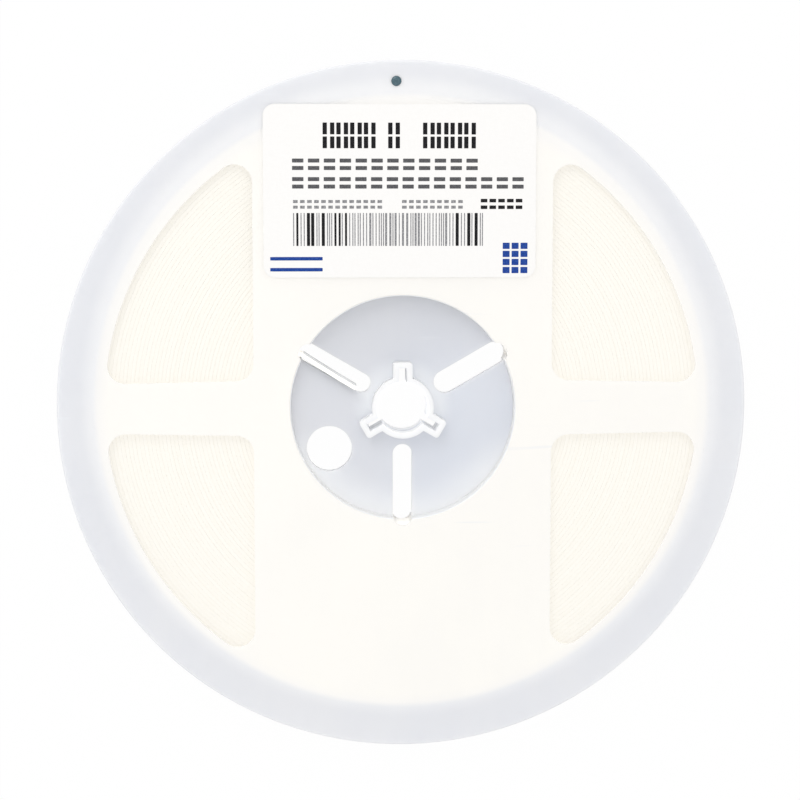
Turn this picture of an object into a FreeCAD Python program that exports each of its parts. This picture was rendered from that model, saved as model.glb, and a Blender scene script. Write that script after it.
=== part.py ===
"""Seven-inch plastic reel wound with 8 mm paper carrier tape, label side up.

The reel is two copies of one moulding, each a flange with half of the hub.
The upper copy is the front, and the rear one is the same moulding turned over
about the line through its wide slot and its round hole, which is the only way
over that leaves the slots, the key ways and the hole open right through.

Frame: +Z runs along the reel's axis, +Y points to the top of the label, and the
origin is on the axis in the rear flange's outer face. All lengths are in mm.
"""
import math
import os

import FreeCAD
import Part
import Sketcher
from FreeCAD import Placement, Rotation, Vector

DOC_NAME = "TapeReel"
SHEET_NAME = "Sizes"
PARTS_FOLDER = "parts"
UP = Vector(0, 0, 1)

# Driving sizes: alias, value and what it measures.
DRIVING_SIZES = (
    ("reel_dia", 178.0, "outside diameter of both flanges"),
    ("flange_thick", 1.2, "thickness of a flange"),
    ("flange_space", 9.0, "clear width between the flanges"),
    ("rim_bevel", 0.35, "bevel on the rim's outer edge"),
    ("hub_dia", 60.0, "diameter that the tape is wound on"),
    ("drum_wall", 1.0, "wall of the hub drum"),
    ("web_thick", 1.1, "disc that closes each half of the drum"),
    ("well_bevel", 0.35, "bevel where the flange drops into the hub"),
    ("lip_thick", 0.45, "tongue on half of the drum's joint face"),
    ("lip_height", 0.8, "height of that tongue"),
    ("lip_clearance", 0.05, "play of the tongue in the other half's groove"),
    ("bore_dia", 13.0, "arbor bore"),
    ("collar_wall", 1.5, "wall of the collar round the bore and key ways"),
    ("collar_sink", 0.2, "depth of the collar's rim below the flange's outer face"),
    ("collar_round", 0.8, "rounding of the collar's outer corners"),
    ("key_wide", 2.0, "width of a key way"),
    ("key_reach", 10.3, "distance of a key way's end from the axis"),
    ("slot_start", 9.9, "distance of a long slot's inner end from the axis"),
    ("slot_bite", 0.7, "depth of a long slot's notch in the flange beyond the drum"),
    ("slot_wide", 5.0, "width of two of the long slots"),
    ("big_slot_wide", 5.9, "width of the third long slot"),
    ("hole_dia", 11.8, "round hole through the web"),
    ("hole_reach", 22.0, "distance of the round hole from the axis"),
    ("band_half", 38.5, "half of the solid band that carries the label"),
    ("rim_band", 12.2, "solid rim between the windows and the edge"),
    ("bar_root", 7.1, "half width of the cross bar at its root"),
    ("bar_end", 6.4, "half width of the cross bar at the rim"),
    ("window_round", 4.6, "corner radius of the windows"),
    ("roll_dia", 158.8, "diameter of the wound tape at its outer end"),
    ("roll_play", 0.05, "play between the drum and the first turn"),
    ("tape_wide", 8.0, "width of the carrier tape"),
    ("tape_thick", 1.0, "thickness of the carrier tape"),
    ("ridge_height", 0.25, "height of the ridges that the turns' upper edges stand in"),
    ("tail_long", 17.6, "length of the tape's inner end inside the hub"),
    ("tail_play", 0.2, "play between that end and the side of its slot"),
    ("tail_lean", 0.8, "how far it leans off that side where it enters the drum"),
    ("tail_bow", 0.2, "how far it bows out of straight"),
    ("tab_thick", 0.12, "adhesive tab over the tape's outer end"),
    ("tab_reach", 11.0, "length of the tab on each side of the end"),
    ("label_wide", 69.8, "width of the label"),
    ("label_tall", 44.1, "height of the label"),
    ("label_thick", 0.12, "thickness of the label"),
    ("label_round", 3.0, "corner radius of the label"),
    ("label_shift", -0.8, "label's centre off the reel's centre line"),
    ("label_inset", 11.2, "label's top edge from the edge of the reel"),
    ("dot_dia", 2.6, "ink dot near the rim"),
    ("dot_height", 0.35, "height of the raised ink dot"),
    ("dot_shoulder", 2.1, "diameter of the dot's shoulder"),
    ("dot_side", 0.25, "height of the dot's shoulder"),
    ("dot_top", 1.1, "diameter of the dot's flat top"),
    ("dot_shift", -1.7, "dot's centre off the reel's centre line"),
    ("dot_inset", 5.4, "dot's centre from the edge of the reel"),
)

KEY_COUNT = 3
KEY_ANGLE = 90.0
BIG_SLOT_ANGLE = 30.0
SLOT_ANGLE = 150.0
SLOT_STEP = 120.0
HOLE_ANGLE = 210.0
TAPE_END_ANGLE = 120.0
TURNS_PER_RIDGE = 6
TAIL_OVERLAP = 0.7  # part of the tape's thickness that its inner end shares with the first turn
TAB_RAMP = 2.0  # run of the tab's step down to the turn below, in thicknesses of the tape

HALF_WIDTH = "(Sizes.flange_space / 2 + Sizes.flange_thick)"
FULL_WIDTH = "(Sizes.flange_space + 2 * Sizes.flange_thick)"


# ---------------------------------------------------------------- document


def make_sheet(doc):
    """Put the driving sizes in a spreadsheet, one row each."""
    sheet = doc.addObject("Spreadsheet::Sheet", SHEET_NAME)
    for row, (alias, value, note) in enumerate(DRIVING_SIZES, start=1):
        sheet.set(f"A{row}", note)
        sheet.set(f"B{row}", str(value))
        sheet.setAlias(f"B{row}", alias)
    doc.recompute()
    return sheet


def new_body(doc, name):
    """Add a PartDesign body whose label names its file."""
    body = doc.addObject("PartDesign::Body", name)
    body.Label = name
    return body


def origin_feature(body, role):
    """Find one of the body's own origin planes or axes."""
    return next(item for item in body.Origin.OriginFeatures if item.Role == role)


def new_sketch(body, name, role="XY_Plane", turn=0.0):
    """Add a sketch on one of the body's origin planes, turned in that plane."""
    sketch = body.newObject("Sketcher::SketchObject", name)
    sketch.AttachmentSupport = [(origin_feature(body, role), "")]
    sketch.MapMode = "FlatFace"
    sketch.AttachmentOffset = Placement(Vector(), Rotation(UP, turn))
    return sketch


# ---------------------------------------------------------------- sketches


def bind(sketch, constraint, expression):
    """Add a dimension and drive it by an expression on the sheet."""
    index = sketch.addConstraint(constraint)
    sketch.setExpression(f"Constraints[{index}]", expression)


def value_of(doc, expression):
    """Work out an expression on the sheet, for a sketch's first drawing."""
    return float(doc.getObject(SHEET_NAME).evalExpression(expression))


def place_point(sketch, geo, pos, across, along):
    """Dimension a point from the sketch's origin, or put it on an axis at 0."""
    for axis, kind, expression in ((-2, "DistanceX", across), (-1, "DistanceY", along)):
        if expression == "0":
            sketch.addConstraint(Sketcher.Constraint("PointOnObject", geo, pos, axis))
        else:
            size = value_of(sketch.Document, expression)
            bind(sketch, Sketcher.Constraint(kind, -1, 1, geo, pos, size), expression)


def draw_polygon(sketch, corners):
    """Draw a closed outline of straight sides through dimensioned corners."""
    doc = sketch.Document
    points = [Vector(value_of(doc, x), value_of(doc, y), 0) for x, y in corners]
    count = len(points)
    first = sketch.GeometryCount
    for i, point in enumerate(points):
        sketch.addGeometry(Part.LineSegment(point, points[(i + 1) % count]), False)
    for i in range(count):
        following = first + (i + 1) % count
        sketch.addConstraint(Sketcher.Constraint("Coincident", first + i, 2, following, 1))
    for i, (x, y) in enumerate(corners):
        place_point(sketch, first + i, 1, x, y)


def draw_circle(sketch, across, along, radius):
    """Draw a circle with its centre and radius dimensioned."""
    doc = sketch.Document
    centre = Vector(value_of(doc, across), value_of(doc, along), 0)
    geo = sketch.addGeometry(Part.Circle(centre, UP, value_of(doc, radius)), False)
    place_point(sketch, geo, 3, across, along)
    bind(sketch, Sketcher.Constraint("Radius", geo, value_of(doc, radius)), radius)


def draw_arc(sketch, centre, radius, start, end):
    """Draw an arc between two angles, in radians."""
    circle = Part.Circle(centre, UP, radius)
    return sketch.addGeometry(Part.ArcOfCircle(circle, start, end), False)


def draw_slot(sketch, start, end, width):
    """Draw a round-ended slot along the sketch's first axis."""
    doc = sketch.Document
    half = value_of(doc, width) / 2
    near = Vector(value_of(doc, start) + half, 0, 0)
    far = Vector(value_of(doc, end) - half, 0, 0)
    side = Vector(0, half, 0)
    inner = draw_arc(sketch, near, half, math.pi / 2, 3 * math.pi / 2)
    lower = sketch.addGeometry(Part.LineSegment(near - side, far - side), False)
    outer = draw_arc(sketch, far, half, -math.pi / 2, math.pi / 2)
    upper = sketch.addGeometry(Part.LineSegment(far + side, near + side), False)
    loop = (inner, lower, outer, upper)
    for i, geo in enumerate(loop):
        following = loop[(i + 1) % len(loop)]
        sketch.addConstraint(Sketcher.Constraint("Tangent", geo, 2, following, 1))
    place_point(sketch, inner, 3, f"{start} + {width} / 2", "0")
    place_point(sketch, outer, 3, f"{end} - {width} / 2", "0")
    bind(sketch, Sketcher.Constraint("Radius", inner, half), f"{width} / 2")


def draw_half_ring(sketch, inner_radius, outer_radius, lift):
    """Draw the half of a ring that lies above a line parallel to the first axis."""
    doc = sketch.Document
    small, large, low = (value_of(doc, e) for e in (inner_radius, outer_radius, lift))
    ends = [math.asin(low / radius) for radius in (small, large)]
    inner = draw_arc(sketch, Vector(), small, ends[0], math.pi - ends[0])
    outer = draw_arc(sketch, Vector(), large, ends[1], math.pi - ends[1])
    corners = []
    for radius, angle in ((small, ends[0]), (large, ends[1])):
        corners.append(Vector(radius * math.cos(angle), low, 0))
    right = sketch.addGeometry(Part.LineSegment(*corners), False)
    mirrored = [Vector(-corner.x, corner.y, 0) for corner in corners]
    left = sketch.addGeometry(Part.LineSegment(*mirrored), False)
    for arc, radius in ((inner, inner_radius), (outer, outer_radius)):
        sketch.addConstraint(Sketcher.Constraint("Coincident", arc, 3, -1, 1))
        bind(sketch, Sketcher.Constraint("Radius", arc, value_of(doc, radius)), radius)
    for line, arc_end in ((right, 1), (left, 2)):
        sketch.addConstraint(Sketcher.Constraint("Coincident", line, 1, inner, arc_end))
        sketch.addConstraint(Sketcher.Constraint("Coincident", line, 2, outer, arc_end))
        for line_end in (1, 2):
            bind(sketch, Sketcher.Constraint("DistanceY", -1, 1, line, line_end, low), lift)


def draw_window(sketch):
    """Draw one window: the label band's side, the rim's arc and the cross bar."""
    doc = sketch.Document
    radius = "Sizes.reel_dia / 2 - Sizes.rim_band"
    reach = value_of(doc, radius)
    side = value_of(doc, "Sizes.band_half")
    root = value_of(doc, "Sizes.bar_root")
    end = value_of(doc, "Sizes.bar_end")
    near = Vector(side, root, 0)
    far = Vector(math.sqrt(reach**2 - end**2), end, 0)
    top = Vector(side, math.sqrt(reach**2 - side**2), 0)
    bar = sketch.addGeometry(Part.LineSegment(near, far), False)
    rim = draw_arc(sketch, Vector(), reach, math.asin(end / reach), math.acos(side / reach))
    band = sketch.addGeometry(Part.LineSegment(top, near), False)
    for first, second in ((bar, rim), (rim, band), (band, bar)):
        sketch.addConstraint(Sketcher.Constraint("Coincident", first, 2, second, 1))
    sketch.addConstraint(Sketcher.Constraint("Coincident", rim, 3, -1, 1))
    sketch.addConstraint(Sketcher.Constraint("Vertical", band))
    bind(sketch, Sketcher.Constraint("Radius", rim, reach), radius)
    place_point(sketch, bar, 1, "Sizes.band_half", "Sizes.bar_root")
    bind(sketch, Sketcher.Constraint("DistanceY", -1, 1, bar, 2, end), "Sizes.bar_end")


# ---------------------------------------------------------------- features


def pad(body, sketch, length, downward=False):
    """Raise a sketch by a length given as an expression."""
    feature = body.newObject("PartDesign::Pad", f"{sketch.Name}_pad")
    feature.Profile = sketch
    feature.setExpression("Length", length)
    feature.Reversed = downward
    body.Document.recompute()
    return feature


def pocket(body, sketch, depth=None):
    """Cut a sketch upwards by a depth, or right through both ways without one."""
    feature = body.newObject("PartDesign::Pocket", f"{sketch.Name}_cut")
    feature.Profile = sketch
    if depth is None:
        feature.Type = "ThroughAll"
        feature.Midplane = True
    else:
        feature.Type = "Length"
        feature.setExpression("Length", depth)
        feature.Reversed = True
    body.Document.recompute()
    return feature


def revolve(body, sketch):
    """Turn a sketch on the XZ plane all the way round the body's Z axis."""
    feature = body.newObject("PartDesign::Revolution", f"{sketch.Name}_turned")
    feature.Profile = sketch
    feature.ReferenceAxis = (origin_feature(body, "Z_Axis"), [""])
    feature.Angle = 360.0
    body.Document.recompute()
    return feature


def ring_of(body, feature, count, angle):
    """Repeat a feature round the body's Z axis."""
    pattern = body.newObject("PartDesign::PolarPattern", f"{feature.Name}_ring")
    pattern.Originals = [feature]
    pattern.Axis = (origin_feature(body, "Z_Axis"), [""])
    pattern.Angle = angle
    pattern.Occurrences = count
    body.Tip = pattern
    body.Document.recompute()
    return pattern


def mirror_both_ways(body, feature):
    """Repeat a feature across the body's YZ and XZ planes."""
    pattern = body.newObject("PartDesign::MultiTransform", f"{feature.Name}_four")
    pattern.Originals = [feature]
    steps = []
    for role in ("YZ_Plane", "XZ_Plane"):
        step = body.newObject("PartDesign::Mirrored", f"{feature.Name}_{role}")
        step.MirrorPlane = (origin_feature(body, role), [""])
        steps.append(step)
    pattern.Transformations = steps
    body.Tip = pattern
    body.Document.recompute()
    return pattern


def dress_edges(body, base, kind, size, wanted):
    """Round ("Fillet") or bevel ("Chamfer") each edge of a feature that a test picks."""
    edges = [f"Edge{i}" for i, edge in enumerate(base.Shape.Edges, start=1) if wanted(edge)]
    feature = body.newObject(f"PartDesign::{kind}", f"{base.Name}_{kind}")
    feature.Base = (base, edges)
    feature.setExpression({"Fillet": "Radius", "Chamfer": "Size"}[kind], size)
    body.Document.recompute()
    return feature


def is_circle(edge, radius, height):
    """Tell a circular edge about the Z axis by its radius and height."""
    if not isinstance(edge.Curve, Part.Circle):
        return False
    off_centre = (edge.Curve.Center - Vector(0, 0, height)).Length
    return off_centre < 1e-6 and abs(edge.Curve.Radius - radius) < 1e-6


def is_upright(edge, nearest):
    """Tell a straight edge along Z that stands at least so far from the axis."""
    if not isinstance(edge.Curve, Part.Line):
        return False
    start, end = (vertex.Point for vertex in edge.Vertexes)
    level = math.hypot(end.x - start.x, end.y - start.y) < 1e-6
    return level and math.hypot(start.x, start.y) > nearest


# ---------------------------------------------------------------- moulding


def turn_shape(body):
    """Turn the flange, half of the drum and its web as one section."""
    rim = "Sizes.reel_dia / 2"
    drum = "Sizes.hub_dia / 2"
    well = "Sizes.hub_dia / 2 - Sizes.drum_wall"
    under = "Sizes.flange_space / 2"
    sketch = new_sketch(body, f"{body.Name}_section", "XZ_Plane")
    draw_polygon(sketch, (
        ("0", "0"),
        (drum, "0"),
        (drum, under),
        (rim, under),
        (rim, HALF_WIDTH),
        (well, HALF_WIDTH),
        (well, "Sizes.web_thick"),
        ("0", "Sizes.web_thick"),
    ))
    turned = revolve(body, sketch)
    doc = body.Document
    top = value_of(doc, HALF_WIDTH)
    for radius, bevel in ((rim, "Sizes.rim_bevel"), (well, "Sizes.well_bevel")):
        edge_radius = value_of(doc, radius)
        turned = dress_edges(body, turned, "Chamfer", bevel,
                             lambda edge: is_circle(edge, edge_radius, top))


def add_collar(body):
    """Raise the collar that walls in the bore and its three key ways."""
    rise = f"{HALF_WIDTH} - Sizes.collar_sink"
    ring = new_sketch(body, f"{body.Name}_collar")
    draw_circle(ring, "0", "0", "Sizes.bore_dia / 2 + Sizes.collar_wall")
    pad(body, ring, rise)
    arm = new_sketch(body, f"{body.Name}_arm", turn=KEY_ANGLE)
    reach = "Sizes.key_reach + Sizes.collar_wall"
    half = "Sizes.key_wide / 2 + Sizes.collar_wall"
    draw_polygon(arm, (("0", f"-({half})"), (reach, f"-({half})"), (reach, half), ("0", half)))
    arms = ring_of(body, pad(body, arm, rise), KEY_COUNT, 360.0)
    arm_reach = value_of(body.Document, reach)
    rim_reach = value_of(body.Document, "Sizes.hub_dia / 2 - Sizes.drum_wall")

    def is_arm_corner(edge):
        """Tell the outer corners of the arms from the edges further out."""
        return is_upright(edge, arm_reach) and edge.Vertexes[0].Point.Length < rim_reach

    dress_edges(body, arms, "Fillet", "Sizes.collar_round", is_arm_corner)


def add_joint(body):
    """Give the drum's joint face a tongue on one half and a groove on the other.

    The line between them is the one that the moulding is turned over about, so
    each copy's tongue lies in the other's groove.
    """
    outer = "Sizes.hub_dia / 2 - Sizes.drum_wall / 2 + Sizes.lip_thick / 2"
    inner = "Sizes.hub_dia / 2 - Sizes.drum_wall / 2 - Sizes.lip_thick / 2"
    play = "Sizes.lip_clearance"
    lip = new_sketch(body, f"{body.Name}_lip", turn=BIG_SLOT_ANGLE)
    draw_half_ring(lip, inner, outer, play)
    pad(body, lip, "Sizes.lip_height", downward=True)
    groove = new_sketch(body, f"{body.Name}_groove", turn=BIG_SLOT_ANGLE + 180.0)
    draw_half_ring(groove, f"{inner} - {play}", f"{outer} + {play}", f"{play} / 2")
    pocket(body, groove, f"Sizes.lip_height + {play}")


def cut_windows(body):
    """Open the four windows that show how much tape is left."""
    window = new_sketch(body, f"{body.Name}_window")
    draw_window(window)
    windows = mirror_both_ways(body, pocket(body, window))
    nearest = value_of(body.Document, "Sizes.band_half")
    dress_edges(body, windows, "Fillet", "Sizes.window_round",
                lambda edge: is_upright(edge, nearest))


def cut_hub(body):
    """Cut the bore, the key ways, the long slots and the round hole."""
    bore = new_sketch(body, f"{body.Name}_bore")
    draw_circle(bore, "0", "0", "Sizes.bore_dia / 2")
    pocket(body, bore)
    key = new_sketch(body, f"{body.Name}_key", turn=KEY_ANGLE)
    half = "Sizes.key_wide / 2"
    reach = "Sizes.key_reach"
    draw_polygon(key, (("0", f"-({half})"), (reach, f"-({half})"), (reach, half), ("0", half)))
    ring_of(body, pocket(body, key), KEY_COUNT, 360.0)
    slot_end = "Sizes.hub_dia / 2 + Sizes.slot_bite"
    slot = new_sketch(body, f"{body.Name}_slot", turn=SLOT_ANGLE)
    draw_slot(slot, "Sizes.slot_start", slot_end, "Sizes.slot_wide")
    ring_of(body, pocket(body, slot), 2, SLOT_STEP)
    big_slot = new_sketch(body, f"{body.Name}_big_slot", turn=BIG_SLOT_ANGLE)
    draw_slot(big_slot, "Sizes.slot_start", slot_end, "Sizes.big_slot_wide")
    pocket(body, big_slot)
    hole = new_sketch(body, f"{body.Name}_hole", turn=HOLE_ANGLE)
    draw_circle(hole, "Sizes.hole_reach", "0", "Sizes.hole_dia / 2")
    body.Tip = pocket(body, hole)


def make_moulding(doc, name):
    """Make one half of the reel with its joint face at its own zero height."""
    body = new_body(doc, name)
    turn_shape(body)
    add_joint(body)
    cut_windows(body)
    add_collar(body)
    cut_hub(body)
    body.setExpression(".Placement.Base.z", HALF_WIDTH)
    return body


def make_halves(doc):
    """Make the front half, and the rear half as the same moulding turned over."""
    front = make_moulding(doc, "front_half")
    rear = make_moulding(doc, "rear_half")
    angle = math.radians(BIG_SLOT_ANGLE)
    turn_line = Vector(math.cos(angle), math.sin(angle), 0)
    rear.Placement = Placement(rear.Placement.Base, Rotation(turn_line, 180))
    rear.setExpression(".Placement.Base.z", HALF_WIDTH)
    return [front, rear]


# ---------------------------------------------------------------- wound tape


def half_turn(centre, inner, outer, start):
    """Give the face of half a turn of the spiral, from a starting angle."""
    angles = (start, start + math.pi / 2, start + math.pi)
    rings = []
    for radius in (inner, outer):
        rings.append([centre + Vector(math.cos(a), math.sin(a), 0) * radius for a in angles])
    small, large = rings
    edges = [
        Part.Arc(*small).toShape(),
        Part.LineSegment(small[2], large[2]).toShape(),
        Part.Arc(*large).toShape(),
        Part.LineSegment(large[0], small[0]).toShape(),
    ]
    return Part.Face(Part.Wire(Part.__sortEdges__(edges)))


def spiral_step(turn, angle):
    """Give the two centres about which a spiral of half circles is drawn."""
    offset = Vector(math.cos(angle), math.sin(angle), 0) * (turn / 4)
    return (-offset, offset)


def roll_blank(inner, outer, turn, angle, floor, width):
    """Fill the roll's outline: a round hole inside, and one spiral turn outside.

    The outer turn ends in a step as high as the tape is thick. Each half circle
    is half a turn larger than the last, about a centre a quarter turn off the axis.
    """
    centres = spiral_step(turn, angle)
    first = outer - turn / 2 - turn / 4
    halves = []
    for i, centre in enumerate(centres):
        radius = first + i * turn / 2
        start = angle + i * math.pi
        halves.append(half_turn(centre, inner / 2, radius, start).extrude(UP * width))
    disc = halves[0].fuse(halves[1]).removeSplitter()
    hole = Part.makeCylinder(inner, width)
    core = Part.makeCylinder(first - turn, width)
    blank = disc.fuse(core).cut(hole)
    blank.translate(UP * floor)
    return blank


def ridged_half_turn(centre, inner, outer, start, floor, top, height):
    """Turn half a bundle of tape turns: level below, and rising to a ridge above."""
    corners = [
        Vector(inner, 0, floor),
        Vector(outer, 0, floor),
        Vector(outer, 0, top - height),
        Vector((inner + outer) / 2, 0, top),
        Vector(inner, 0, top - height),
    ]
    section = Part.Face(Part.makePolygon(corners + corners[:1]))
    section.rotate(Vector(), UP, math.degrees(start))
    section.translate(centre)
    return section.revolve(centre, UP, 180)


def wound_turns(inner, outer, pitch, angle, floor, top, height):
    """Wind bundles of turns in one spiral of half circles."""
    centres = spiral_step(pitch, angle)
    count = 2 * math.ceil((outer - inner) / pitch) + 4
    bands = []
    for i in range(count):
        low = inner - pitch + i * pitch / 2
        start = angle + (i % 2) * math.pi
        bands.append(ridged_half_turn(centres[i % 2], low, low + pitch, start, floor, top, height))
    return bands[0].multiFuse(bands[1:])


def tape_tail(sizes, floor):
    """Make the tape's inner end, which lies in the slot beside the round hole.

    It comes in through the drum along one side of the slot, a little bowed.
    """
    out = math.radians(SLOT_ANGLE)
    along = Vector(math.cos(out), math.sin(out), 0)
    across = Vector(-math.sin(out), math.cos(out), 0)
    start = sizes.hub_dia / 2 + sizes.tape_thick * TAIL_OVERLAP
    finish = start - sizes.tail_long
    reach = sizes.slot_wide / 2 - sizes.tape_thick / 2
    entry = reach - sizes.tail_lean
    end = reach - sizes.tail_play
    offsets = (entry, (entry + end) / 2 + sizes.tail_bow, end)
    middle = (start + finish) / 2
    line = [along * r + across * o for r, o in zip((start, middle, finish), offsets)]
    half = across * (sizes.tape_thick / 2)
    one = [point + half for point in line]
    other = [point - half for point in line]
    edges = [
        Part.Arc(*one).toShape(),
        Part.LineSegment(one[2], other[2]).toShape(),
        Part.Arc(*other).toShape(),
        Part.LineSegment(other[0], one[0]).toShape(),
    ]
    tail = Part.Face(Part.Wire(Part.__sortEdges__(edges))).extrude(UP * sizes.tape_wide)
    tail.translate(UP * floor)
    return tail


def make_tape(doc, sizes):
    """Wind the tape on the drum: one solid of turns, with its inner end.

    Every turn's lower edge lies on the rear flange, and the upper edges stand
    unevenly, in a few spiral ridges.
    """
    angle = math.radians(TAPE_END_ANGLE)
    inner = sizes.hub_dia / 2 + sizes.roll_play
    outer = sizes.roll_dia / 2
    floor = sizes.flange_thick
    top = floor + sizes.tape_wide
    pitch = TURNS_PER_RIDGE * sizes.tape_thick
    blank = roll_blank(inner, outer, sizes.tape_thick, angle, floor, sizes.tape_wide)
    turns = wound_turns(inner, outer, pitch, angle, floor, top, sizes.ridge_height)
    wound = blank.common(turns)
    tape = doc.addObject("Part::Feature", "carrier_tape")
    tape.Label = "carrier_tape"
    tape.Shape = wound.fuse(tape_tail(sizes, floor)).removeSplitter()
    return tape


def make_tab(doc, sizes):
    """Stick a tab of adhesive tape over the outer end, down onto the turn below."""
    angle = math.radians(TAPE_END_ANGLE)
    low_centre, high_centre = spiral_step(sizes.tape_thick, angle)
    high = sizes.roll_dia / 2 - sizes.tape_thick / 4
    low = high - sizes.tape_thick / 2
    sweep = sizes.tab_reach / high
    ramp = TAB_RAMP * sizes.tape_thick / high

    def stretch(centre, radius, start, end):
        """List three points of an arc, for the tab's underside or its back."""
        angles = (start, (start + end) / 2, end)
        return [centre + Vector(math.cos(a), math.sin(a), 0) * radius for a in angles]

    edges = []
    sides = []
    for lift in (0.0, sizes.tab_thick):
        upper = stretch(high_centre, high + lift, angle - sweep, angle)
        lower = stretch(low_centre, low + lift, angle + ramp, angle + ramp + sweep)
        edges += [Part.Arc(*upper).toShape(), Part.Arc(*lower).toShape()]
        edges.append(Part.LineSegment(upper[2], lower[0]).toShape())
        sides.append((upper[0], lower[2]))
    for under, over in zip(*sides):
        edges.append(Part.LineSegment(under, over).toShape())
    tab = doc.addObject("Part::Feature", "end_tab")
    tab.Label = "end_tab"
    face = Part.Face(Part.Wire(Part.__sortEdges__(edges)))
    tab.Shape = face.extrude(UP * sizes.tape_wide)
    tab.Placement = Placement(UP * sizes.flange_thick, Rotation())
    return tab


# ---------------------------------------------------------------- surface pieces


def make_label(doc):
    """Lay the rounded paper label on the front flange's solid band."""
    body = new_body(doc, "label")
    sketch = new_sketch(body, "label_outline")
    wide = "Sizes.label_wide / 2"
    tall = "Sizes.label_tall / 2"
    draw_polygon(sketch, (
        (f"-{wide}", f"-{tall}"), (wide, f"-{tall}"), (wide, tall), (f"-{wide}", tall),
    ))
    sheet = pad(body, sketch, "Sizes.label_thick")
    body.Tip = dress_edges(body, sheet, "Fillet", "Sizes.label_round",
                           lambda edge: is_upright(edge, 0.0))
    body.setExpression(".Placement.Base.x", "Sizes.label_shift")
    body.setExpression(".Placement.Base.y",
                       "Sizes.reel_dia / 2 - Sizes.label_inset - Sizes.label_tall / 2")
    body.setExpression(".Placement.Base.z", FULL_WIDTH)
    return body


def make_dot(doc):
    """Set the raised ink dot on the front flange between the tape and the rim."""
    body = new_body(doc, "ink_dot")
    sketch = new_sketch(body, "dot_section", "XZ_Plane")
    draw_polygon(sketch, (
        ("0", "0"),
        ("Sizes.dot_dia / 2", "0"),
        ("Sizes.dot_shoulder / 2", "Sizes.dot_side"),
        ("Sizes.dot_top / 2", "Sizes.dot_height"),
        ("0", "Sizes.dot_height"),
    ))
    body.Tip = revolve(body, sketch)
    body.setExpression(".Placement.Base.x", "Sizes.dot_shift")
    body.setExpression(".Placement.Base.y", "Sizes.reel_dia / 2 - Sizes.dot_inset")
    body.setExpression(".Placement.Base.z", FULL_WIDTH)
    return body


# ---------------------------------------------------------------- output


def check_document(doc, pieces):
    """Stop if a feature failed or a piece is not one sound solid."""
    for item in doc.Objects:
        if {"Invalid", "Error"} & set(item.State):
            raise RuntimeError(f"{item.Name} failed: {item.State}")
    for piece in pieces:
        shape = piece.Shape
        if shape.isNull() or not shape.isValid() or len(shape.Solids) != 1:
            raise RuntimeError(f"{piece.Label} is not one valid solid")


def main():
    """Build the document, check it and write one STEP file for each piece."""
    doc = FreeCAD.newDocument(DOC_NAME)
    sizes = make_sheet(doc)
    pieces = make_halves(doc)
    pieces += [make_tape(doc, sizes), make_tab(doc, sizes), make_label(doc), make_dot(doc)]
    doc.recompute()
    check_document(doc, pieces)
    os.makedirs(PARTS_FOLDER, exist_ok=True)
    for piece in pieces:
        piece.Shape.exportStep(os.path.join(PARTS_FOLDER, f"{piece.Label}.step"))
        print(f"{piece.Label}: {piece.Shape.Volume:.1f} mm3")


main()
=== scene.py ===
"""Looks for a seven-inch plastic reel wound with paper carrier tape.

The two milky halves, the adhesive tab and the paper label are dressed where
they stand. The wound tape with its punched holes, the cover film over its last
turn, the label's plain print and the domed ink dot are modelled here.
Lengths are in metres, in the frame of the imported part: +Z along the reel's axis
to the label side, +Y to the label's top, the origin on the rear outer face.
"""
import logging
import math
import random
from contextlib import contextmanager
from dataclasses import dataclass
from enum import Enum
from typing import Iterator, Sequence

import bpy
from mathutils import Matrix, Vector


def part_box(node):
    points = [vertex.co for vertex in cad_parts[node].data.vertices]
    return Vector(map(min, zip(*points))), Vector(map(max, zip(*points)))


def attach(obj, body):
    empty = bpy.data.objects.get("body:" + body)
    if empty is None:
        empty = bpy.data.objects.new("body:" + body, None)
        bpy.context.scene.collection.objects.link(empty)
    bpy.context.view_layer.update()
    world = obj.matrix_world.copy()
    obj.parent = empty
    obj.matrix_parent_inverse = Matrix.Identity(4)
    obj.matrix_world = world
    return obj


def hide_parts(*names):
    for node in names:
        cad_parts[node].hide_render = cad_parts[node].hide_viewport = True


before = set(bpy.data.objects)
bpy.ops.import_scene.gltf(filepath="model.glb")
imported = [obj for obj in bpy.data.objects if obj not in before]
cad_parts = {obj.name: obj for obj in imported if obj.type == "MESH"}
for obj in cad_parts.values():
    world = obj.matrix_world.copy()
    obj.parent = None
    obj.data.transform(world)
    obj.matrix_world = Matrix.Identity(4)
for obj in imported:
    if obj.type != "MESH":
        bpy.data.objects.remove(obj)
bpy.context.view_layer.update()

LOG = logging.getLogger("reel")
MM = 0.001
MERGE_REACH = 0.001 * MM
UP = Vector((0.0, 0.0, 1.0))
AXIS_FOOT = Vector((0.0, 0.0, 0.0))
BODY = "root"
FIRST_COLOUR, SECOND_COLOUR, MIXED_COLOUR = 6, 7, 2
FLOAT, VECTOR = "NodeSocketFloat", "NodeSocketVector"

Colour = tuple[float, float, float, float]
Pair = tuple[float, float]
BLACK: Colour = (0.0, 0.0, 0.0, 1.0)
WHITE: Colour = (1.0, 1.0, 1.0, 1.0)


class Slot(Enum):
    """Material slots of the record."""

    PLASTIC = "milky_plastic"
    TAPE = "tape_paper"
    FILM = "adhesive_film"
    LABEL = "label_paper"
    INK = "dark_ink"


# ---------------------------------------------------------------- modelling


def tone(red: float, green: float, blue: float) -> Colour:
    """Turn a display colour into the linear one that a shader takes.

    Args:
        red: Red, from 0 to 1.
        green: Green.
        blue: Blue.

    Returns:
        The linear colour, with full cover.
    """
    linear = [value / 12.92 if value <= 0.04045 else ((value + 0.055) / 1.055) ** 2.4
              for value in (red, green, blue)]
    return (linear[0], linear[1], linear[2], 1.0)


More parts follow.
